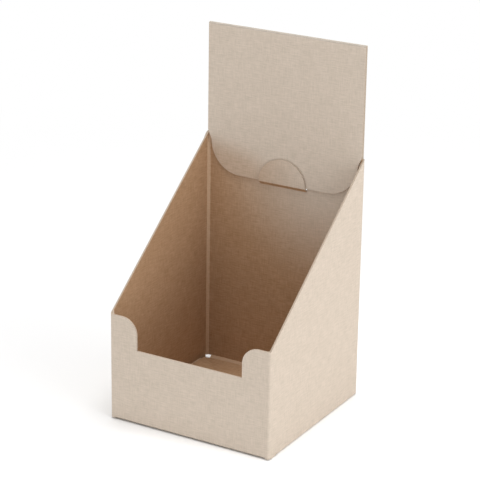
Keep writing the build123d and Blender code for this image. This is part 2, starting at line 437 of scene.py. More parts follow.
@dataclass
class Header:
    """The back panel carried up, folded over the top and brought down as the tuck flap."""

    body: Body
    inset: float = 1.5 * MM
    tuck_reach: float = 34.7 * MM
    tuck_half: float = 70.0 * MM
    tuck_radius: float = 28.0 * MM
    taper: float = 8.5 * MM
    lead: float = 1.8 * MM

    ROWS = 27
    FOLD_STEPS = 12

    @property
    def tuck_edge(self) -> float:
        """Height of the tuck flap's lower edge."""
        return self.body.back_corner - self.tuck_reach

    @property
    def neck(self) -> float:
        """Height at which the front layer has narrowed to the tuck flap."""
        return self.body.back_corner + self.lead - self.taper

    def path(self) -> tuple[np.ndarray, np.ndarray, np.ndarray]:
        """Side view of the header from the back corner up, over and down to the taper.

        The back layer is straight, the fold is half a circle about the line between the two
        layers, and the front layer is straight again.

        Returns:
            Outer and inner face as (y, z) rows, and the length along the sheet of each row.
        """
        board, body = self.body.board, self.body
        half = (board.pitch + board.thickness) / 2
        slit = board.gap / 2
        middle = body.half_depth - half
        crown = body.top - half
        up = np.linspace(body.back_corner, crown, self.ROWS)
        angles = np.linspace(0, math.pi, self.FOLD_STEPS + 1)[1:-1]
        down = np.linspace(crown, body.back_corner + self.lead, self.ROWS)
        flat = np.ones(self.ROWS)
        outer, inner = [
            np.stack([
                middle + np.concatenate([flat * away, away * np.cos(angles), -flat * away]),
                np.concatenate([up, crown + away * np.sin(angles), down]),
            ], axis=-1)
            for away in (half, slit)
        ]
        steps = np.linalg.norm(np.diff((outer + inner) / 2, axis=0), axis=1)
        length = body.back_corner + np.concatenate([[0.0], np.cumsum(steps)])
        return outer, inner, length

    def add(self, skins: Skins, columns: np.ndarray, flat_s: np.ndarray) -> None:
        """Adds the header's grids.

        Args:
            skins: Where the grids go.
            columns: x of each column, from the right edge to the left one.
            flat_s: The same columns' distance along the blank.
        """
        outer, inner, length = self.path()
        side = np.ones((len(outer), 1)) * columns
        flat = np.stack(np.broadcast_arrays(flat_s, length[:, None]), axis=-1)
        front, back = self.lift(side, outer), self.lift(side, inner)
        start, end = self.ROWS - 1, self.ROWS + self.FOLD_STEPS - 1
        layers = (
            (slice(None, start + 1), Face.OUTER),
            (slice(start, end + 1), Face.DARKER_FOLD),
            (slice(end, None), Face.OUTER),
        )
        for rows, face in layers:
            skins.add(front[rows], back[rows], flat[rows], outside=face)
        drop, half = self.tuck_rows()
        scale = half / half[0]
        rows_outer = np.stack([np.full(len(drop), outer[-1, 0]), outer[-1, 1] - drop], axis=-1)
        rows_inner = np.stack([np.full(len(drop), inner[-1, 0]), inner[-1, 1] - drop], axis=-1)
        side = scale[:, None] * columns
        flat_x = flat_s + (columns - side)
        flat = np.stack(np.broadcast_arrays(flat_x, (length[-1] + drop)[:, None]), axis=-1)
        skins.add(self.lift(side, rows_outer), self.lift(side, rows_inner), flat)

    def tuck_rows(self) -> tuple[np.ndarray, np.ndarray]:
        """Rows of the tuck flap: how far each lies below the taper's start, and its half width.

        The width falls in a straight line over the taper, then follows two quarter circles to
        the lower edge.
        """
        full = self.body.half_width - self.inset
        bend = self.tuck_edge + self.tuck_radius
        start = self.body.back_corner + self.lead
        angles = np.linspace(0, math.pi / 2, 15)
        taper = np.linspace(0.0, start - bend, 5)[:-1]
        share = taper / (start - bend)
        drop = np.concatenate([taper, start - bend + self.tuck_radius * np.sin(angles)])
        half = np.concatenate([
            full + share * (self.tuck_half - full),
            self.tuck_half - self.tuck_radius * (1 - np.cos(angles)),
        ])
        return drop, half

    @staticmethod
    def lift(side: np.ndarray, rows: np.ndarray) -> np.ndarray:
        """Points from x in rows by columns, and (y, z) of each row."""
        y = rows[:, 0][:, None] + 0 * side
        z = rows[:, 1][:, None] + 0 * side
        return np.stack([side, y, z], axis=-1)


@dataclass
class HalfMoon:
    """Half-moon tab: cut out of the back panel, it steps forward and holds the tuck flap."""

    header: Header
    radius: float = 22.5 * MM
    leg: float = 4.4 * MM
    drop: float = 3.5 * MM
    bend: float = 1.0 * MM
    lean: float = 48.0
    stand_off: float = 0.15 * MM
    spring: float = 0.9
    crush: float = 0.6 * MM
    crush_width: float = 1.5 * MM
    crush_start: float = 4.0 * MM
    crush_run: float = 2.0 * MM
    blank_middle: float = 527.0 * MM

    STEP_ROWS = 15

    @property
    def root(self) -> float:
        """Height of the tab's fold."""
        return self.header.tuck_edge - self.drop

    def hole_rows(self) -> tuple[np.ndarray, np.ndarray]:
        """Heights across the window and its half width at each: straight legs, half circle."""
        angles = np.linspace(0, math.pi / 2, 15)[1:]
        legs = np.linspace(self.root, self.root + self.leg, 3)
        z = np.concatenate([legs, self.root + self.leg + self.radius * np.sin(angles)])
        half = np.concatenate([np.full(3, self.radius), self.radius * np.cos(angles)])
        half[-1] = 0.0
        return z, half

    def side_view(self) -> tuple[np.ndarray, np.ndarray]:
        """Middle line of the tab seen from the side.

        The lean grows over an arc, stays over a straight run, and falls over a second arc to a
        small lean that the tuck flap's spring gives the upright part. The line is the sum of
        its short steps, each along the lean at its middle.

        Returns:
            Length along the sheet and lean at each step's ends.
        """
        board = self.header.body.board
        lean, rest = math.radians(self.lean), math.radians(self.spring)
        step = 2 * board.pitch + self.stand_off
        arcs = self.bend * (2 - 2 * math.cos(lean))
        run = (step - arcs) / math.sin(lean)
        first = self.bend * lean
        total = self.leg + self.radius - board.cut
        nodes = [0.0, first, first + run, 2 * first + run]
        angles = np.linspace(0, math.pi / 2, 25)
        rest_rows = nodes[-1] + (total - nodes[-1]) * np.sin(angles)
        length = np.concatenate([space(nodes, [6, 4, 8])[:-1], rest_rows])
        return length, np.interp(length, nodes, [0.0, lean, lean, rest])

    def build(self) -> bpy.types.Object:
        """Tab from its side view, as wide at each row as the half moon is there.

        A row's half width is constant on the legs and follows a circle above them. Both faces
        are half a board either side of the middle line. The back face comes forward near the
        rim, where the die crushed the board.

        Returns:
            The tab's object.
        """
        board, body = self.header.body.board, self.header.body
        length, lean = self.side_view()
        steps = np.diff(length)
        middle_lean = (lean[1:] + lean[:-1]) / 2
        forward = np.concatenate([[0.0], np.cumsum(steps * np.sin(middle_lean))])
        upward = np.concatenate([[0.0], np.cumsum(steps * np.cos(middle_lean))])
        y = body.half_depth - board.thickness / 2 - forward
        z = self.root + upward
        radius = self.radius - board.cut
        over = np.clip(length - self.leg, 0.0, radius)
        half = np.sqrt(np.maximum(radius ** 2 - over ** 2, 0.0))
        x = half[:, None] * np.sin(np.linspace(-math.pi / 2, math.pi / 2, 33))
        inside = radius - np.hypot(x, over[:, None])
        pressed = self.crush * smooth(1 - inside / self.crush_width)
        pressed = pressed * smooth((length[:, None] - self.crush_start) / self.crush_run)
        middle = np.stack([y, z], axis=-1)
        normal = np.stack([np.cos(lean), np.sin(lean)], axis=-1)
        front = Header.lift(x, middle - normal * board.thickness / 2)
        back = Header.lift(x, middle + normal * board.thickness / 2)
        back[..., 1:] -= pressed[..., None] * normal[:, None, :]
        s = self.blank_middle - x
        flat = np.stack(np.broadcast_arrays(s, (self.root + length)[:, None]), axis=-1)
        skins = Skins()
        step = slice(None, self.STEP_ROWS + 1)
        moon = slice(self.STEP_ROWS, None)
        # The step's front face takes slot 3, which on the tab is the painted shade of its step.
        skins.add(back[step], front[step], flat[step], Face.CREASE)
        skins.add(back[moon], front[moon], flat[moon])
        return skins.build("half_moon_tab")


@dataclass
class FrontNotch:
    """Opening in the front panel's upper edge."""

    body: Body
    half_width: float = 49.3 * MM
    shoulder: float = 14.5 * MM

    def top(self, u: np.ndarray) -> np.ndarray:
        """Height of a shoulder's edge at a distance from the panel's middle.

        It is level, then a quarter circle down to the notch's upright side.
        """
        over = np.clip(self.half_width + self.shoulder - np.abs(u), 0.0, self.shoulder)
        fall = self.shoulder - np.sqrt(np.maximum(self.shoulder ** 2 - over ** 2, 0.0))
        return self.body.front_corner - fall


@dataclass
class BottomFlap:
    """A flap below one wall: its outline and how high it lies over the floor.

    Columns are given where the flap leaves its fold. Each row spreads them between the flap's
    two edges, and keeps one column on a line of its own if the outline needs it.
    """

    plan: Plan
    wall: Wall
    columns: np.ndarray
    raised: float = 0.0

    def fold(self, skins: Skins, top: np.ndarray, bottom: np.ndarray) -> None:
        """Adds the fold: outside a quarter circle, inside a facet, from wall to flap.

        Args:
            skins: Where the grid goes.
            top: Columns' distance along the blank at the wall.
            bottom: The same columns where the flap begins.
        """
        reach, thick = self.plan.body.board.reach, self.plan.body.board.thickness
        depth, height = self.heel()
        share = np.linspace(0, 1, len(depth))[:, None]
        s = top + share * (bottom - top)
        outer = self.wall.place(s, depth[:, None], height[:, None])
        facet_depth = thick + share * (reach - thick)
        facet_height = reach + share * (thick + self.raised - reach)
        inner = self.wall.place(s, facet_depth, facet_height)
        flat = np.stack(np.broadcast_arrays(s, reach * (1 - share)), axis=-1)
        # The inner facet gets the painted highlight of slot 3.
        skins.add(outer, inner, flat, Face.CREASE)

    def heel(self) -> tuple[np.ndarray, np.ndarray]:
        """Outer profile of the fold: a quarter circle, raised where the crease stands up.

        Returns:
            Depth inside the wall's face and height over the floor of nine points.
        """
        board = self.plan.body.board
        angles = np.linspace(0, math.pi / 2, 7)
        depth = board.fold_radius * (1 - np.cos(angles))
        height = self.raised + board.fold_radius * (1 - np.sin(angles))
        return np.r_[0.0, depth, board.reach], np.r_[board.reach, height, self.raised]

    def plate(self, skins: Skins, u: np.ndarray, v: np.ndarray, height: np.ndarray) -> None:
        """Adds a grid of the flap itself.

        Args:
            skins: Where the grid goes.
            u: Distance along the wall from its first corner.
            v: Distance inward from the wall's outer face.
            height: Height of the flap's underside.
        """
        s = u + self.wall.start
        outer = self.wall.place(s, v, height)
        inner = self.wall.place(s, v, height + self.plan.body.board.thickness)
        skins.add(outer, inner, np.stack([s, -v], axis=-1))


@dataclass
class LongFlap(BottomFlap):
    """Front or back flap: body, glue triangle on its first side, tongue on its last side."""

    split: int = 8
    side_inset: float = 4.0 * MM
    seam_shift: float = 8.2 * MM
    ramp: float = 9.5 * MM
    glue_stop: float = 28.0 * MM
    tip_width: float = 11.0 * MM
    tongue_stop: float = 27.0 * MM
    tongue_side: float = 8.0 * MM
    tongue_curve: tuple[float, float] = (30.0 * MM, 27.0 * MM)
    tongue_edge: float = 5.0 * MM
    settle: float = 5.0 * MM
    clearing: float = 3.0 * MM
    lift_run: float = 8.0 * MM

    NEAR_ROWS = 34
    TIP_ROWS = 26
    TONGUE_ROWS = (3, 10)
    CURVE_ROWS = 12

    def add(self, skins: Skins) -> None:
        """Adds the fold and the three parts of the flap."""
        body = self.plan.body
        reach = body.board.reach
        width, depth = 2 * body.half_width, 2 * body.half_depth
        start = self.columns - self.wall.start
        self.fold(skins, self.columns, self.columns)
        diagonal = math.hypot(width, depth)
        near_u = width / 2 - self.seam_shift * diagonal / (2 * depth)
        near_v = depth / 2 - self.seam_shift * diagonal / (2 * width)
        glue_end = depth - self.glue_stop
        tip_u = width - (glue_end * width + self.seam_shift * diagonal) / depth
        end_v = depth - self.tongue_stop

        rows = space([reach, near_v], [self.NEAR_ROWS])
        first = self.first_edge(rows, start[0], tip_u - self.tip_width, glue_end)
        middle = start[self.split] + (near_u - start[self.split]) * (rows - reach) / (near_v - reach)
        last = self.last_edge(rows, start[-1], width, end_v)
        self.part(skins, rows, first, middle, start[:self.split + 1])
        self.part(skins, rows, middle, last, start[self.split:])

        rows = space([near_v, glue_end], [self.TIP_ROWS])
        first = self.first_edge(rows, start[0], tip_u - self.tip_width, glue_end)
        seam = near_u + (tip_u - near_u) * (rows - near_v) / (glue_end - near_v)
        self.part(skins, rows, first, seam, start[:self.split + 1])

        curve_u, curve_v = self.tongue_curve
        angles = np.linspace(0, math.pi / 2, self.CURVE_ROWS)[1:]
        curved = end_v - curve_v + curve_v * np.sin(angles)
        straight = space([near_v, depth / 2, end_v - curve_v], self.TONGUE_ROWS)
        rows = np.concatenate([straight, curved])
        edge_u = width / 2 + self.tongue_edge
        rise = np.clip((rows - near_v) / (depth / 2 - near_v), 0, 1)
        over = np.clip((rows - end_v + curve_v) / curve_v, 0, 1)
        inner = near_u + (edge_u - near_u) * rise
        inner = inner + curve_u * (1 - np.sqrt(1 - over ** 2))
        last = self.last_edge(rows, start[-1], width, end_v)
        self.part(skins, rows, inner, last, start[self.split:])

    def first_edge(self, v: np.ndarray, at_fold: float, tip: float, end: float) -> np.ndarray:
        """Edge on the glue triangle's side: clear of the wall, then slanting to the tip."""
        return self.leave(v, at_fold, np.maximum(self.side_inset, tip * v / end))

    def last_edge(self, v: np.ndarray, at_fold: float, width: float, end: float) -> np.ndarray:
        """Edge on the tongue's side: clear of the wall, then slanting to the tongue's end."""
        free = width - np.maximum(self.side_inset, self.tongue_side * v / end)
        return self.leave(v, at_fold, free)

    def leave(self, v: np.ndarray, at_fold: float, free: np.ndarray) -> np.ndarray:
        """Edge that starts at the fold's end and comes smoothly to its free line."""
        share = smooth((v - self.plan.body.board.reach) / self.clearing)
        return at_fold + (free - at_fold) * share

    def part(
        self, skins: Skins, rows: np.ndarray, first: np.ndarray, last: np.ndarray, start: np.ndarray
    ) -> None:
        """Adds one grid between two edges, its columns shared out as they are at the fold."""
        share = (start - start[0]) / (start[-1] - start[0])
        u = first[:, None] + share * (last - first)[:, None]
        v = rows[:, None] + 0 * u
        self.plate(skins, u, v, self.level(u, v))

    def level(self, u: np.ndarray, v: np.ndarray) -> np.ndarray:
        """Height of the underside: a smooth climb of two layers across the last diagonal.

        A raised crease comes down to the floor over the flap's first few millimetres.
        """
        body = self.plan.body
        width, depth = 2 * body.half_width, 2 * body.half_depth
        past = (u * depth + v * width - width * depth) / math.hypot(width, depth)
        climb = smooth(past / self.ramp + 0.5)
        free = smooth((v - body.board.reach) / self.lift_run)
        sloping = self.raised * (1 - smooth((v - body.board.reach) / self.settle))
        return (body.board.thickness + body.board.pitch) * climb * free + sloping


@dataclass
class GluedFlap(BottomFlap):
    """Left or right flap: it climbs onto the long flap's glue triangle and is glued there."""

    slit: float = 1.2 * MM
    seam_start: float = 11.6 * MM
    slant: float = 22.0 * MM
    ramp: float = 6.0 * MM
    layer_rest: float = 0.02 * MM

    ROWS = 30

    def add(self, skins: Skins) -> None:
        """Adds the fold and the flap."""
        body = self.plan.body
        board = body.board
        top = self.columns
        start = top - self.wall.start
        share = (start - start[0]) / (start[-1] - start[0])
        far = 2 * body.half_depth
        rows = space([board.reach, body.half_width - self.slit], [self.ROWS])
        first = self.seam_start + rows * body.half_depth / body.half_width
        run = (rows - board.reach) / (rows[-1] - board.reach)
        last = far - board.reach - (self.slant - board.reach) * run
        u = first[:, None] + share * (last - first)[:, None]
        self.fold(skins, top, self.wall.start + u[0])
        v = rows[:, None] + 0 * u
        height = (board.thickness + self.layer_rest) * smooth((v - board.reach) / self.ramp)
        self.plate(skins, u, v, height)


@dataclass
class Blank:
    """The whole folded sheet but for the half-moon tab."""

    body: Body
    header: Header
    moon: HalfMoon
    notch: FrontNotch
    corner_relief: float = 1.0 * MM
    seam_relief: float = 3.0 * MM
    free_relief: float = 0.3 * MM
    seam_notch: float = 6.0 * MM
    # The front panel's crease stands off the floor, so a thin dark gap runs under it.
    front_crease: float = 1.3 * MM
    glue_width: float = 22.0 * MM
    glue_top: float = 2.0 * MM
    glue_foot: float = 4.5 * MM
    glue_taper: float = 30.0 * MM
    glue_fall: float = 2.6 * MM
    plan: Plan = field(init=False)
    skins: Skins = field(init=False)

    LOW_ROWS = 16
    MID_ROWS = 25
    CORNER_COLUMNS = 14
    NOTCH_COLUMNS = 32
    BACK_COLUMNS = 24
    TAIL_COLUMNS = 2
    CENTRE_COLUMNS = 16
    BACK_SPLIT = 9
    HEM = 0.3 * MM
    SLACK = 0.05 * MM
    LAST_COLUMN = 0.5 * MM

    def __post_init__(self) -> None:
        """Makes the plan and an empty set of grids."""
        self.plan = Plan(self.body)
        self.skins = Skins()

    def top(self, s: np.ndarray) -> np.ndarray:
        """Height of the sheet's upper edge at a distance along the blank.

        Level over the front and back panels, sloping over the side walls, and tapered on the
        glue flap, which starts a little lower, behind the left wall's cut edge.
        """
        starts = [wall.start for wall in self.plan.walls]
        body, last = self.body, self.plan.walls[4].start
        radius, fall = body.board.fold_radius, self.glue_fall
        nodes = starts[:4] + [
            last - radius, last + radius, last + self.glue_top, last + self.glue_width,
        ]
        heights = [body.back_corner, body.front_corner, body.front_corner, body.back_corner] + [
            body.back_corner - lower for lower in (0.0, fall, fall, self.glue_taper)
        ]
        return np.interp(s, nodes, heights)

    def upper_rows(self, s: np.ndarray) -> np.ndarray:
        """Heights of every grid row above the bottom folds, rows by columns.

        Rows rise in equal steps to the notch's floor. From there to the top edge they keep the
        shares that put a row on the tab's fold and on its window's top at the back panel.
        """
        reach = self.body.board.reach
        middle = self.body.mid_level
        lower = np.linspace(0, 1, self.LOW_ROWS + 1)[:-1, None]
        span = self.body.back_corner - middle
        z_hole, _ = self.moon.hole_rows()
        shares = np.concatenate([
            np.linspace(0, (z_hole[0] - middle) / span, self.MID_ROWS + 1)[:-1],
            (z_hole - middle) / span,
            np.linspace((z_hole[-1] - middle) / span, 1, 5)[1:],
        ])[:, None]
        base = np.maximum(reach, self.foot(s) + self.HEM)
        return np.concatenate([
            base + lower * (middle - base),
            middle + shares * (self.top(s) - middle),
        ])

    def foot(self, s: np.ndarray) -> np.ndarray:
        """Height at which the sheet ends where no flap hangs from it."""
        start = self.plan.walls[4].start
        rise = (s - start - self.glue_foot) * self.glue_taper / (self.glue_width - self.glue_foot)
        back = self.plan.walls[3].start + 2 * self.body.half_width - self.seam_notch
        plain = np.full(s.shape, self.corner_relief)
        for wall in (self.plan.walls[0], self.plan.walls[2]):
            past = s - wall.start
            free = (past > self.body.board.reach + self.SLACK) & (past < self.body.half_depth)
            plain = np.where(free, self.free_relief, plain)
        plain = np.where(s > back - self.SLACK, self.seam_relief, plain)
        return np.where(s > start, np.maximum(plain, rise), plain)

    def wall(self, s: np.ndarray, z: np.ndarray, inside: Face = Face.INNER) -> None:
        """Adds a grid of upright wall from its distances and heights, rows by columns."""
        s = s + 0 * z
        outer = self.plan.on_outer(s, z)
        inner = self.plan.on_inner(s, z, self.header.neck)
        self.skins.add(outer, inner, np.stack([s, z], axis=-1), inside)

    def hem(
        self, s: np.ndarray, level: float | None = None, inside: Face = Face.INNER
    ) -> None:
        """Adds the part of a wall below the folds' height where no flap hangs from it."""
        top = self.upper_rows(s)[0]
        foot = self.foot(s) if level is None else np.full(s.shape, level)
        share = np.linspace(0, 1, 4)[:, None]
        self.wall(s, foot + share * (top - foot), inside)

    def full_height(self, s: np.ndarray, inside: Face = Face.INNER) -> None:
        """Adds a wall's grid over all rows."""
        self.wall(s, self.upper_rows(s), inside)

    def build(self) -> bpy.types.Object:
        """Makes every grid of the blank and joins them."""
        left, front, right, back, glue = self.plan.walls
        free = GluedFlap.seam_start
        self.side(left, free)
        self.side(right, free)
        self.front(front)
        self.back(back)
        for corner in (1, 2, 3, 4):
            strip = self.plan.strip(corner)
            # The corner strips' inner facets get the painted highlight of slot 3.
            self.full_height(strip, Face.CREASE)
            self.hem(strip, inside=Face.CREASE)
        seat = self.plan.strip(4)[-1]
        flap = space([seat, glue.start + self.glue_foot, glue.start + self.glue_width], [1, 8])
        self.full_height(flap)
        self.hem(flap)
        return self.skins.build("folded_blank")

    def side(self, wall: Wall, free: float) -> None:
        """Adds a side wall and its glued flap. The flap's fold starts past a free stretch."""
        reach = self.body.board.reach
        length = 2 * self.body.half_depth
        loose = wall.start + space([reach, free], [3])
        folded = wall.start + space([free, length - reach], [40])
        self.full_height(loose)
        self.hem(loose, self.free_relief)
        self.full_height(folded)
        GluedFlap(self.plan, wall, folded).add(self.skins)

    def front(self, wall: Wall) -> None:
        """Adds the front panel in five stretches: corner, shoulder, notch, shoulder, corner."""
        reach = self.body.board.reach
        width = 2 * self.body.half_width
        half, bend = self.notch.half_width, self.notch.shoulder
        angles = np.linspace(0, math.pi / 2, 13)
        first = self.body.half_width - half - bend
        corner = space([reach, first], [self.CORNER_COLUMNS])
        round_in = first + bend * np.sin(angles)
        notch = space([width / 2 - half, width / 2 + half], [self.NOTCH_COLUMNS])
        stretches = [corner, round_in, notch, width - round_in[::-1], width - corner[::-1]]
        for u in stretches:
            s = wall.start + u
            rows = self.upper_rows(s)
            low, high = rows[:self.LOW_ROWS + 1], rows[self.LOW_ROWS + 1:]
            if u is notch:
                self.wall(s, low)
                continue
            share = (high - self.body.mid_level) / (self.top(s) - self.body.mid_level)
            edge = self.notch.top(u - width / 2)
            high = self.body.mid_level + share * (edge - self.body.mid_level)
            self.wall(s, np.concatenate([low, high]))
        columns = np.concatenate([stretches[0]] + [u[1:] for u in stretches[1:]])
        flap = wall.start + columns
        split = self.CORNER_COLUMNS
        LongFlap(self.plan, wall, flap, self.front_crease, split=split).add(self.skins)

    def back(self, wall: Wall) -> None:
        """Adds the back panel round the tab's window, its flap, and the header above it."""
        reach = self.body.board.reach
        thick = self.body.board.thickness
        width = 2 * self.body.half_width
        middle = wall.start + self.body.half_width
        start = wall.start + reach
        end = wall.start + width - reach
        notch = wall.start + width - self.seam_notch
        columns, tail = self.BACK_COLUMNS, self.TAIL_COLUMNS
        radius = self.moon.radius
        z_hole, half = self.moon.hole_rows()
        first_hole = self.LOW_ROWS + self.MID_ROWS
        last_hole = first_hole + len(z_hole) - 1
        right = np.linspace(0, 1, columns + 1)
        turn = (notch - middle - radius) / (end - middle - radius)
        left = space([0.0, turn, 1.0], [columns - tail, tail])
        rows = self.upper_rows(np.array([middle]))[:, 0]
        span = np.full(len(rows), radius)
        span[first_hole:last_hole + 1] = half
        span[last_hole:] = 0.0
        s_right = start + right * (middle - span[:, None] - start)
        s_left = middle + span[:, None] + left * (end - middle - span[:, None])
        z = rows[:, None]
        self.wall(s_right, z + 0 * s_right)
        self.wall(s_left, z + 0 * s_left)
        centre = middle + radius * np.linspace(-1, 1, self.CENTRE_COLUMNS + 1)
        self.wall(centre + 0 * z[:first_hole + 1], z[:first_hole + 1] + 0 * centre)
        flap = np.concatenate([s_right[0], centre[1:], s_left[0, 1:columns - tail + 1]])
        LongFlap(self.plan, wall, flap, split=self.BACK_SPLIT).add(self.skins)
        self.hem(s_left[0, columns - tail:])

        corner_right = self.plan.strip(3)
        corner_left = self.plan.strip(4)
        lead = corner_right[corner_right > wall.start + thick]
        edge_right = wall.start + self.header.inset
        edge_left = wall.start + width - self.header.inset
        trail = corner_left[corner_left < edge_left + self.LAST_COLUMN]
        tops = np.concatenate([
            [edge_right], lead[:-1], s_right[-1], s_left[-1, 1:], trail[1:],
        ])
        tops = tops[(tops >= edge_right - self.SLACK) & (tops <= edge_left + self.SLACK)]
        self.header.add(self.skins, middle - tops, tops)


@dataclass(frozen=True)
class PaintedPatch:
    """Area of the blank where light or shade is painted into the liner's tone, strongest in its
    middle.

    It is round, or flatter than it is wide by its squeeze.
    """

    place: tuple[float, float]
    full: float
    end: float
    share: float
    pale: str
    deep: str
    squeeze: float = 1.0


@dataclass(frozen=True)
class Kraft:
    """Uncoated kraft liner: paper made on a wire from long wood fibres, then glued to flutes.

    The eye gets a dry, matt sheet with no gloss even at a low angle, a fine linen of pale and
    deep threads that cross at right angles, and a faint cloudiness from the pulp.
    """

    name: str
    pale: str
    deep: str
    # A patch of painted light or shade, if any.
    painted_patch: PaintedPatch | None = None
    roughness: float = 0.86
    # A fibre is 0.03 mm thick and 3 mm long. It is drawn as a bundle, so that it shows.
    fibre: float = 0.95 * MM
    fibre_length: float = 9.0 * MM
    cloud: float = 16.0 * MM
    lay: float = 0.56
    cloud_share: float = 0.15
    tone_range: tuple[float, float] = (0.435, 0.715)
    relief: float = 0.06 * MM

    def material(self) -> bpy.types.Material:
        """Material whose colour and relief come from two crossed noises and a cloudy one."""
        material, tree, surface = new_material(self.name)
        uv = add_node(tree, "ShaderNodeUVMap", uv_map=UV_NAME).outputs["UV"]
        up = self.threads(tree, uv, (self.fibre, self.fibre_length))
        over = self.threads(tree, uv, (self.fibre_length, self.fibre))
        weave = add_node(
            tree, "ShaderNodeMix", {"Factor": self.lay, 2: up, 3: over}
        ).outputs[0]
        cloud = self.threads(tree, uv, (self.cloud, self.cloud))
        sum_all = add_node(
            tree, "ShaderNodeMath", {0: cloud, 1: self.cloud_share, 2: weave},
            operation="MULTIPLY_ADD",
        ).outputs[0]
        low, high = self.tone_range
        tone = add_node(
            tree, "ShaderNodeMapRange", {"Value": sum_all, "From Min": low, "From Max": high}
        ).outputs["Result"]
        colour, *painted_tone = [
            add_node(
                tree, "ShaderNodeMix",
                {"Factor": tone, 6: linear(liner.deep), 7: linear(liner.pale)}, data_type="RGBA",
            ).outputs[2]
            for liner in (self, self.painted_patch) if liner
        ]
        # Mixes in the painted patch's light or shade.
        if painted_tone:
            colour = add_node(
                tree, "ShaderNodeMix",
                {"Factor": self.nearness(tree, uv), 6: colour, 7: painted_tone[0]}, data_type="RGBA",
            ).outputs[2]
        bump = add_node(
            tree, "ShaderNodeBump", {"Strength": 0.6, "Distance": self.relief, "Height": weave}
        ).outputs["Normal"]
        fill(tree, surface, {
            "Base Color": colour,
            "Roughness": self.roughness,
            "Specular IOR Level": 0.25,
            "Normal": bump,
        })
        return material

    def nearness(self, tree: bpy.types.NodeTree, uv: bpy.types.NodeSocket) -> bpy.types.NodeSocket:
        """Share of the painted patch at a place on the blank: full in its middle, smooth down to 0.
        """
        painted_patch = self.painted_patch
        across, along = painted_patch.place
        squeezed = add_node(
            tree, "ShaderNodeVectorMath", {0: uv, 1: (1.0, painted_patch.squeeze, 1.0)},
            operation="MULTIPLY",
        ).outputs["Vector"]
        away = add_node(
            tree, "ShaderNodeVectorMath", {0: squeezed, 1: (across, painted_patch.squeeze * along, 0.0)},
            operation="DISTANCE",
        ).outputs["Value"]
        return add_node(tree, "ShaderNodeMapRange", {
            "Value": away, "From Min": painted_patch.full, "From Max": painted_patch.end,
            "To Min": painted_patch.share, "To Max": 0.0,
        }, interpolation_type="SMOOTHSTEP").outputs["Result"]

    @staticmethod
    def threads(
        tree: bpy.types.NodeTree, uv: bpy.types.NodeSocket, size: tuple[float, float]
    ) -> bpy.types.NodeSocket:
        """Noise stretched to a grain's width and length on the flat blank, in metres."""
        scale = (1.0 / size[0], 1.0 / size[1], 1.0)
        mapped = add_node(tree, "ShaderNodeMapping", {"Vector": uv, "Scale": scale})
        noise = add_node(
            tree, "ShaderNodeTexNoise",
            {"Vector": mapped.outputs[0], "Scale": 1.0, "Detail": 3.0, "Roughness": 0.6},
        )
        return noise.outputs["Fac"]


@dataclass(frozen=True)
class CutBoard:
    """Die-cut edge of fluted board: two liners with the pressed wave of the flutes between.

    The eye gets a rough line, deeper than the faces, because light is lost among the cut fibres
    and flutes, with a soft wave in it where the crushed fluted sheet runs.
    """

    name: str
    core: str
    liner: str
    thickness: float
    flute: float = 3.4 * MM
    swing: float = 0.3
    sheet: float = 0.25

    def material(self) -> bpy.types.Material:
        """Material that darkens where the fluted sheet's wave runs across the edge."""
        material, tree, surface = new_material(self.name)
        uv = add_node(tree, "ShaderNodeUVMap", uv_map=UV_NAME).outputs["UV"]
        split = add_node(tree, "ShaderNodeSeparateXYZ", {"Vector": uv})
        wave = add_node(
            tree, "ShaderNodeMath",
            {0: split.outputs[0], 1: 2 * math.pi / self.flute}, operation="MULTIPLY",
        ).outputs[0]
        wave = add_node(tree, "ShaderNodeMath", {0: wave}, operation="SINE").outputs[0]
        middle = add_node(
            tree, "ShaderNodeMath",
            {0: wave, 1: self.swing * self.thickness, 2: 0.5 * self.thickness},
            operation="MULTIPLY_ADD",
        ).outputs[0]
        off = add_node(
            tree, "ShaderNodeMath", {0: split.outputs[1], 1: middle}, operation="SUBTRACT"
        ).outputs[0]
        off = add_node(tree, "ShaderNodeMath", {0: off}, operation="ABSOLUTE").outputs[0]
        near = add_node(
            tree, "ShaderNodeMapRange",
            {"Value": off, "From Min": 0.0, "From Max": self.sheet * self.thickness},
        ).outputs["Result"]
        colour = add_node(
            tree, "ShaderNodeMix",
            {"Factor": near, 6: linear(self.liner), 7: linear(self.core)}, data_type="RGBA",
        ).outputs[2]
        fill(tree, surface, {"Base Color": colour, "Roughness": 0.95, "Specular IOR Level": 0.2})
        return material


def new_material(
    name: str,
) -> tuple[bpy.types.Material, bpy.types.NodeTree, bpy.types.Node]:
    """Empty node material with its Principled shader."""
    material = bpy.data.materials.new(name)
    material.use_nodes = True
    tree = material.node_tree
    surface = next(node for node in tree.nodes if node.type == "BSDF_PRINCIPLED")
    return material, tree, surface


def fill(tree: bpy.types.NodeTree, node: bpy.types.Node, inputs: dict) -> None:
    """Sets a node's sockets: a socket is linked, anything else is its value."""
    for key, value in inputs.items():
        if isinstance(value, bpy.types.NodeSocket):
            tree.links.new(value, node.inputs[key])
        else:
            node.inputs[key].default_value = value


def add_node(
    tree: bpy.types.NodeTree, kind: str, inputs: dict | None = None, **settings: object
) -> bpy.types.Node:
    """Adds a node with its settings, values and links.

    Args:
        tree: Node tree that gets it.
        kind: Node's class name.
        inputs: Values or sockets by input name or number.
        settings: Attributes of the node.

    Returns:
        The new node.
    """
    node = tree.nodes.new(kind)
    for key, value in settings.items():
        setattr(node, key, value)
    fill(tree, node, inputs or {})
    return node


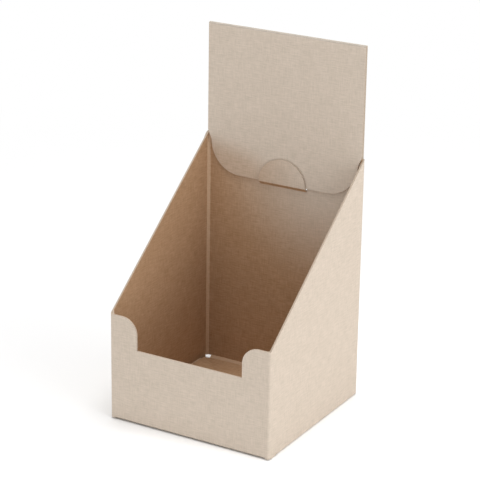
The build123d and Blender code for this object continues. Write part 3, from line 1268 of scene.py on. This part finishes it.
@dataclass
class Studio:
    """Pale floor, soft lights and the camera that took the photograph."""

    body: Body
    floor_size: float = 12.0
    floor_drop: float = 0.05 * MM
    floor_hex: str = "#F6F6F6"
    floor_shown: str = "#ECECEC"
    floor_painted_light: str = "#FFFFFF"
    fade: tuple[float, float] = (0.4, 0.9)
    sky: float = 0.66
    camera_place: tuple[float, float, float] = (0.7618, -1.3051, 0.7032)
    azimuth: float = 30.213
    elevation: float = 20.166
    roll: float = 0.856
    focal_pixels: float = 1977.5
    sensor: float = 36.0

    def build(self) -> None:
        """Adds the floor, the world, the lamps and the camera."""
        self.floor()
        self.world()
        self.lamp("right_front_softbox", (1.81, -0.39, 0.85), 1.2, 10.3)
        self.lamp("right_back_softbox", (1.79, 0.48, 0.85), 1.2, 3.3)
        self.lamp("overhead_softbox", (0.0, -0.1, 3.0), 1.8, 52.6)
        self.camera()
        bpy.context.scene.view_settings.view_transform = "Standard"

    @staticmethod
    def seen(tree: bpy.types.NodeTree) -> bpy.types.NodeSocket:
        """Above 0 for rays that show the background: camera, mirror and glass rays."""
        path = add_node(tree, "ShaderNodeLightPath").outputs
        first = add_node(
            tree, "ShaderNodeMath", {0: path["Is Camera Ray"], 1: path["Is Glossy Ray"]},
            operation="MAXIMUM",
        ).outputs[0]
        return add_node(
            tree, "ShaderNodeMath", {0: first, 1: path["Is Transmission Ray"]},
            operation="MAXIMUM",
        ).outputs[0]

    def floor(self) -> None:
        """Floor that shows white round the box, and keeps the box's soft shadow.

        It returns light as a white floor does. Rays that show it see a colour painted across x: grey
        left of the box, a painted shade where the shadow falls, and white on the lamps' side, a
        painted light that lifts the shadow there; further out it fades to white.
        """
        half = self.floor_size / 2
        places = np.array([
            [-half, -half, 0.0], [half, -half, 0.0], [half, half, 0.0], [-half, half, 0.0],
        ]) - np.array([0.0, 0.0, self.floor_drop])
        uv = places[:, :2][None]
        floor = mesh_object("floor", places, np.array([[0, 1, 2, 3]]), uv, np.array([0]))
        material = bpy.data.materials.new("studio_floor")
        material.use_nodes = True
        tree = material.node_tree
        tree.nodes.clear()
        plain = add_node(tree, "ShaderNodeBsdfDiffuse", {"Color": linear(self.floor_hex)})
        place = add_node(tree, "ShaderNodeTexCoord").outputs["Object"]
        side = add_node(tree, "ShaderNodeSeparateXYZ", {"Vector": place}).outputs["X"]
        half = self.body.half_width
        # Painted light and shade: the seen floor is painted from grey on the shadow side to white on
        # the lamps' side.
        painted_light_share = add_node(
            tree, "ShaderNodeMapRange", {"Value": side, "From Min": -half, "From Max": half},
            interpolation_type="SMOOTHSTEP",
        ).outputs["Result"]
        tone = add_node(
            tree, "ShaderNodeMix",
            {"Factor": painted_light_share, 6: linear(self.floor_shown), 7: linear(self.floor_painted_light)},
            data_type="RGBA",
        ).outputs[2]
        shown = add_node(tree, "ShaderNodeBsdfDiffuse", {"Color": tone})
        white = add_node(tree, "ShaderNodeEmission", {"Strength": 1.0})
        far = add_node(tree, "ShaderNodeVectorMath", {0: place}, operation="LENGTH").outputs["Value"]
        far = add_node(
            tree, "ShaderNodeMapRange",
            {"Value": far, "From Min": self.fade[0], "From Max": self.fade[1]},
            interpolation_type="SMOOTHSTEP",
        ).outputs["Result"]
        fade = add_node(
            tree, "ShaderNodeMixShader", {0: far, 1: shown.outputs[0], 2: white.outputs[0]}
        )
        mix = add_node(tree, "ShaderNodeMixShader", {
            0: self.seen(tree), 1: plain.outputs[0], 2: fade.outputs[0],
        })
        add_node(tree, "ShaderNodeOutputMaterial", {"Surface": mix.outputs[0]})
        floor.data.materials.append(material)

    def world(self) -> None:
        """Even white sky for the light, plain white where it shows."""
        world = bpy.data.worlds.new("studio")
        world.use_nodes = True
        tree = world.node_tree
        tree.nodes.clear()
        sky = add_node(
            tree, "ShaderNodeBackground", {"Color": (1, 1, 1, 1), "Strength": self.sky}
        )
        white = add_node(tree, "ShaderNodeBackground", {"Color": (1, 1, 1, 1), "Strength": 1.0})
        mix = add_node(tree, "ShaderNodeMixShader", {
            0: self.seen(tree), 1: sky.outputs[0], 2: white.outputs[0],
        })
        add_node(tree, "ShaderNodeOutputWorld", {"Surface": mix.outputs[0]})
        bpy.context.scene.world = world

    def lamp(
        self, name: str, place: tuple[float, float, float], size: float, power: float
    ) -> None:
        """Adds a square softbox that looks at the middle of the box."""
        data = bpy.data.lights.new(name, "AREA")
        data.size = size
        data.energy = power
        lamp = bpy.data.objects.new(name, data)
        lamp.location = place
        aim = Vector((0.0, 0.0, self.body.top / 2)) - Vector(place)
        lamp.rotation_euler = aim.to_track_quat("-Z", "Y").to_euler()
        bpy.context.collection.objects.link(lamp)

    def camera(self) -> None:
        """Camera whose place, turn and lens were solved from the corners of the box."""
        data = bpy.data.cameras.new("photo_camera")
        data.sensor_width = self.sensor
        data.sensor_fit = "HORIZONTAL"
        data.lens = self.focal_pixels / PHOTO_PIXELS * self.sensor
        data.clip_end = 50.0
        camera = bpy.data.objects.new("photo_camera", data)
        matrix = Matrix.Translation(self.camera_place)
        for degrees, axis in ((self.azimuth, "Z"), (90.0 - self.elevation, "X"), (self.roll, "Z")):
            matrix = matrix @ Matrix.Rotation(math.radians(degrees), 4, axis)
        camera.matrix_world = matrix
        bpy.context.collection.objects.link(camera)
        bpy.context.scene.camera = camera


def dress(piece: bpy.types.Object, materials: list[bpy.types.Material]) -> None:
    """Gives a piece the board's materials and seats it on the frame."""
    for material in materials:
        piece.data.materials.append(material)
    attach(piece, BODY)
    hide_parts(NODE)


def main() -> None:
    """Builds the box in the blank's order, then the studio, and reports each piece."""
    logging.basicConfig(level=logging.INFO, format="%(name)s: %(message)s")
    board = Board()
    body = Body.from_frame(board)
    header = Header(body)
    moon = HalfMoon(header)
    grey = ("#D5C6B7", "#C2B5A5")
    # Painted shade: this brown stands for the board in the box's shade, deeper than the outer
    # liner's grey.
    painted_shade_brown = ("#BB997A", "#A3815F")
    # Painted shade: the outer liner is painted browner at the tuck flap's lower left corner, for the
    # brown light that the left wall throws there.
    painted_bounce_shade = PaintedPatch((592 * MM, 446 * MM), 40 * MM, 75 * MM, 0.48, *painted_shade_brown, squeeze=1.6)
    outer = Kraft("kraft_liner_outside", *grey, painted_bounce_shade).material()
    # The inner liner is painted browner than the outer one: painted shade for the inside of the box.
    # Painted light: high up on the back panel's right side the inner liner is painted grey, for the
    # light that falls there.
    painted_light_patch = PaintedPatch((475 * MM, 200 * MM), 15 * MM, 130 * MM, 1.0, *grey)
    inner = Kraft("kraft_liner_inside_painted_shade", *painted_shade_brown, painted_light_patch).material()
    edge = CutBoard("die_cut_board_edge", "#B6A695", "#A59584", board.thickness).material()
    # Painted highlight: the inner facets of the folds are painted paler, for the light they catch
    # where they face the opening.
    facet_highlight = Kraft("kraft_liner_creased_painted_highlight", "#C8AA8E", "#BA9C7E").material()
    # The header's fold is given a duller, darker tone than the rest of the outer liner.
    darker_fold_liner = Kraft("kraft_liner_darker_fold", "#C1B6AA", "#AFA699").material()
    # Painted shade: the tab's step faces down and is painted in the plain inner brown, without the
    # back panel's painted light, for the dark band under the tab.
    step = Kraft("kraft_liner_bent_painted_shade", *painted_shade_brown).material()
    sheet = Blank(body, header, moon, FrontNotch(body)).build()
    dress(sheet, [outer, inner, edge, facet_highlight, darker_fold_liner])
    tab = moon.build()
    dress(tab, [outer, inner, edge, step])
    for piece in (sheet, tab):
        LOG.info("%s: %d faces", piece.name, len(piece.data.polygons))
    Studio(body).build()


if __name__ == "__main__":
    main()
